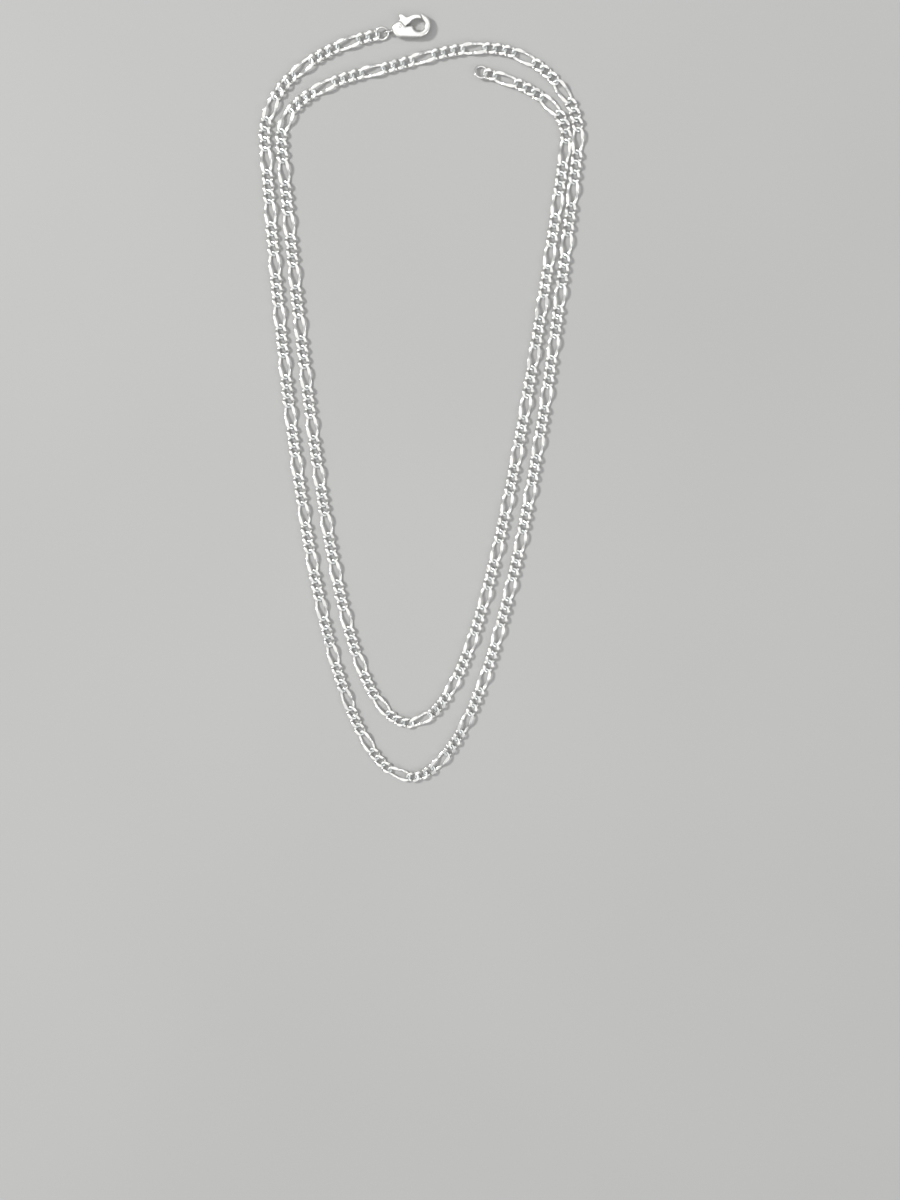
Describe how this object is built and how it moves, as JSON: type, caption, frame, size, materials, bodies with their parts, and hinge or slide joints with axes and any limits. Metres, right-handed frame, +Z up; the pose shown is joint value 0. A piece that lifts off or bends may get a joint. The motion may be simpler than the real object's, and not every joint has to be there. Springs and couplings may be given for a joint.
{
  "type": "chain necklace",
  "caption": "Long Figaro chain necklace of flat twisted links, short ones and long ones in turn, laid in a double coil with a sprung lobster clasp and an end ring.",
  "frame": {"origin": "on the table, at the middle of the necklace's footprint", "axes": "+X across the necklace, +Y along it toward the nape, +Z up off the table"},
  "size_m": [0.0858, 0.2096, 0.0026],
  "materials": {
    "silver": "polished"
  },
  "bodies": {
    "chain_01": {"chain_01": "silver"},
    "chain_02": {"chain_02": "silver"},
    "chain_03": {"chain_03": "silver"},
    "chain_04": {"chain_04": "silver"},
    "chain_05": {"chain_05": "silver"},
    "chain_06": {"chain_06": "silver"},
    "chain_07": {"chain_07": "silver"},
    "chain_08": {"chain_08": "silver"},
    "chain_09": {"chain_09": "silver"},
    "chain_10": {"chain_10": "silver"},
    "chain_11": {"chain_11": "silver"},
    "chain_12": {"chain_12": "silver"},
    "chain_13": {"chain_13": "silver"},
    "chain_14": {"chain_14": "silver"},
    "chain_15": {"chain_15": "silver"},
    "chain_16": {"chain_16": "silver"},
    "chain_17": {"chain_17": "silver"},
    "chain_18": {"chain_18": "silver"},
    "chain_19": {"chain_19": "silver"},
    "chain_20": {"chain_20": "silver"},
    "chain_21": {"chain_21": "silver"},
    "chain_22": {"chain_22": "silver"},
    "chain_23": {"chain_23": "silver"},
    "chain_24": {"chain_24": "silver"},
    "chain_25": {"chain_25": "silver"},
    "chain_26": {"chain_26": "silver"},
    "chain_27": {"chain_27": "silver"},
    "chain_28": {"chain_28": "silver"},
    "chain_29": {"chain_29": "silver"},
    "chain_30": {"chain_30": "silver"},
    "chain_31": {"chain_31": "silver"},
    "chain_32": {"chain_32": "silver"},
    "chain_33": {"chain_33": "silver"},
    "end_ring": {"end_ring": "silver"},
    "clasp_ring": {"clasp_ring": "silver"},
    "clasp_body": {"clasp_body": "silver", "lever_pin": "silver", "lever_spring": "silver"},
    "clasp_lever": {"clasp_lever": "silver"}
  },
  "joints": [
    {"name": "lever_press", "type": "hinge", "parent": "clasp_body", "child": "clasp_lever", "pos_m": [-0.00533, 0.10149, 0.0013], "axis": [0, 0, 1], "range_deg": [-24, 0], "stiffness_Nm_per_rad": 0.002, "springref_deg": 5.73},
    {"name": "clasp_swing", "type": "hinge", "parent": "clasp_ring", "child": "clasp_body", "pos_m": [-0.00865, 0.10008, 0.00118], "axis": [-0.2043, 0.9789, 0], "range_deg": [-20, 20]},
    {"name": "clasp_ring_swing", "type": "hinge", "parent": "chain_01", "child": "clasp_ring", "pos_m": [-0.01137, 0.09952, 0.00109], "axis": [-0.2043, 0.9789, 0], "range_deg": [-12, 12]},
    {"name": "end_ring_swing", "type": "hinge", "parent": "chain_33", "child": "end_ring", "pos_m": [0.01688, 0.08981, 0.00109], "axis": [-0.2424, -0.9702, 0], "range_deg": [-12, 12]},
    {"name": "fold_16_17", "type": "hinge", "parent": "chain_17", "child": "chain_16", "pos_m": [0.03372, 0.08938, 0.00109], "axis": [0.6696, 0.7427, 0], "range_deg": [-20, 20]},
    {"name": "fold_17_18", "type": "hinge", "parent": "chain_17", "child": "chain_18", "pos_m": [0.00832, 0.09552, 0.00109], "axis": [0.1654, -0.9862, 0], "range_deg": [-20, 20]},
    {"name": "fold_15_16", "type": "hinge", "parent": "chain_16", "child": "chain_15", "pos_m": [0.04073, 0.06462, 0.00109], "axis": [-0.9951, 0.0986, 0], "range_deg": [-20, 20]},
    {"name": "fold_18_19", "type": "hinge", "parent": "chain_18", "child": "chain_19", "pos_m": [-0.01813, 0.08919, 0.00109], "axis": [-0.2631, 0.9648, 0], "range_deg": [-20, 20]},
    {"name": "fold_14_15", "type": "hinge", "parent": "chain_15", "child": "chain_14", "pos_m": [0.03786, 0.03757, 0.00109], "axis": [-0.9935, 0.1137, 0], "range_deg": [-20, 20]},
    {"name": "fold_19_20", "type": "hinge", "parent": "chain_19", "child": "chain_20", "pos_m": [-0.03712, 0.07263, 0.00109], "axis": [0.9998, 0.0186, 0], "range_deg": [-20, 20]},
    {"name": "fold_13_14", "type": "hinge", "parent": "chain_14", "child": "chain_13", "pos_m": [0.03451, 0.01058, 0.00109], "axis": [0.991, -0.134, 0], "range_deg": [-20, 20]},
    {"name": "fold_20_21", "type": "hinge", "parent": "chain_20", "child": "chain_21", "pos_m": [-0.03498, 0.04552, 0.00109], "axis": [-0.9965, -0.0839, 0], "range_deg": [-20, 20]},
    {"name": "fold_12_13", "type": "hinge", "parent": "chain_13", "child": "chain_12", "pos_m": [0.0305, -0.01632, 0.00109], "axis": [-0.9866, 0.1632, 0], "range_deg": [-20, 20]},
    {"name": "fold_21_22", "type": "hinge", "parent": "chain_21", "child": "chain_22", "pos_m": [-0.03251, 0.01843, 0.00109], "axis": [0.9951, 0.0985, 0], "range_deg": [-20, 20]},
    {"name": "fold_11_12", "type": "hinge", "parent": "chain_12", "child": "chain_11", "pos_m": [0.02548, -0.04306, 0.00109], "axis": [0.9778, -0.2093, 0], "range_deg": [-20, 20]},
    {"name": "fold_22_23", "type": "hinge", "parent": "chain_22", "child": "chain_23", "pos_m": [-0.02955, -0.00861, 0.00109], "axis": [-0.9927, -0.121, 0], "range_deg": [-20, 20]},
    {"name": "fold_10_11", "type": "hinge", "parent": "chain_11", "child": "chain_10", "pos_m": [0.01877, -0.0694, 0.00109], "axis": [-0.9554, 0.2954, 0], "range_deg": [-20, 20]},
    {"name": "fold_23_24", "type": "hinge", "parent": "chain_23", "child": "chain_24", "pos_m": [-0.02577, -0.03554, 0.00109], "axis": [0.9868, 0.1618, 0], "range_deg": [-20, 20]},
    {"name": "fold_09_10", "type": "hinge", "parent": "chain_10", "child": "chain_09", "pos_m": [0.00813, -0.09435, 0.00109], "axis": [0.8381, -0.5456, 0], "range_deg": [-20, 20]},
    {"name": "fold_24_25", "type": "hinge", "parent": "chain_24", "child": "chain_25", "pos_m": [-0.02025, -0.06216, 0.00109], "axis": [-0.9648, -0.2629, 0], "range_deg": [-20, 20]},
    {"name": "fold_08_09", "type": "hinge", "parent": "chain_09", "child": "chain_08", "pos_m": [-0.01324, -0.09743, 0.00109], "axis": [0.7932, 0.609, 0], "range_deg": [-20, 20]},
    {"name": "fold_25_26", "type": "hinge", "parent": "chain_25", "child": "chain_26", "pos_m": [-0.00814, -0.086, 0.00109], "axis": [-0.5448, -0.8386, 0], "range_deg": [-10, 10]},
    {"name": "fold_07_08", "type": "hinge", "parent": "chain_08", "child": "chain_07", "pos_m": [-0.02399, -0.0726, 0.00109], "axis": [-0.9618, -0.2739, 0], "range_deg": [-20, 20]},
    {"name": "fold_26_27", "type": "hinge", "parent": "chain_26", "child": "chain_27", "pos_m": [0.01059, -0.07149, 0.00109], "axis": [-0.9199, 0.3922, 0], "range_deg": [-20, 20]},
    {"name": "fold_06_07", "type": "hinge", "parent": "chain_07", "child": "chain_06", "pos_m": [-0.02991, -0.04607, 0.00109], "axis": [0.9846, 0.1751, 0], "range_deg": [-20, 20]},
    {"name": "fold_27_28", "type": "hinge", "parent": "chain_27", "child": "chain_28", "pos_m": [0.01871, -0.04556, 0.00109], "axis": [0.9711, -0.2388, 0], "range_deg": [-20, 20]},
    {"name": "fold_05_06", "type": "hinge", "parent": "chain_06", "child": "chain_05", "pos_m": [-0.03393, -0.01917, 0.00109], "axis": [-0.9922, -0.1249, 0], "range_deg": [-20, 20]},
    {"name": "fold_28_29", "type": "hinge", "parent": "chain_28", "child": "chain_29", "pos_m": [0.02439, -0.01896, 0.00109], "axis": [-0.9825, 0.1861, 0], "range_deg": [-20, 20]},
    {"name": "fold_04_05", "type": "hinge", "parent": "chain_05", "child": "chain_04", "pos_m": [-0.03687, 0.00787, 0.00109], "axis": [0.9956, 0.0937, 0], "range_deg": [-20, 20]},
    {"name": "fold_29_30", "type": "hinge", "parent": "chain_29", "child": "chain_30", "pos_m": [0.02905, 0.00784, 0.00109], "axis": [0.9872, -0.1592, 0], "range_deg": [-20, 20]},
    {"name": "fold_03_04", "type": "hinge", "parent": "chain_04", "child": "chain_03", "pos_m": [-0.03912, 0.03498, 0.00109], "axis": [-0.9974, -0.0723, 0], "range_deg": [-20, 20]},
    {"name": "fold_30_31", "type": "hinge", "parent": "chain_30", "child": "chain_31", "pos_m": [0.03314, 0.03473, 0.00109], "axis": [-0.9898, 0.1427, 0], "range_deg": [-20, 20]},
    {"name": "fold_02_03", "type": "hinge", "parent": "chain_03", "child": "chain_02", "pos_m": [-0.04086, 0.06212, 0.00109], "axis": [0.9984, 0.0569, 0], "range_deg": [-20, 20]},
    {"name": "fold_31_32", "type": "hinge", "parent": "chain_31", "child": "chain_32", "pos_m": [0.03686, 0.06167, 0.00109], "axis": [0.9913, -0.1313, 0], "range_deg": [-20, 20]},
    {"name": "fold_01_02", "type": "hinge", "parent": "chain_02", "child": "chain_01", "pos_m": [-0.03537, 0.08766, 0.00109], "axis": [-0.7288, 0.6847, 0], "range_deg": [-20, 20]},
    {"name": "fold_32_33", "type": "hinge", "parent": "chain_32", "child": "chain_33", "pos_m": [0.0296, 0.08511, 0.00109], "axis": [-0.4969, -0.8678, 0], "range_deg": [-20, 20]}
  ]
}
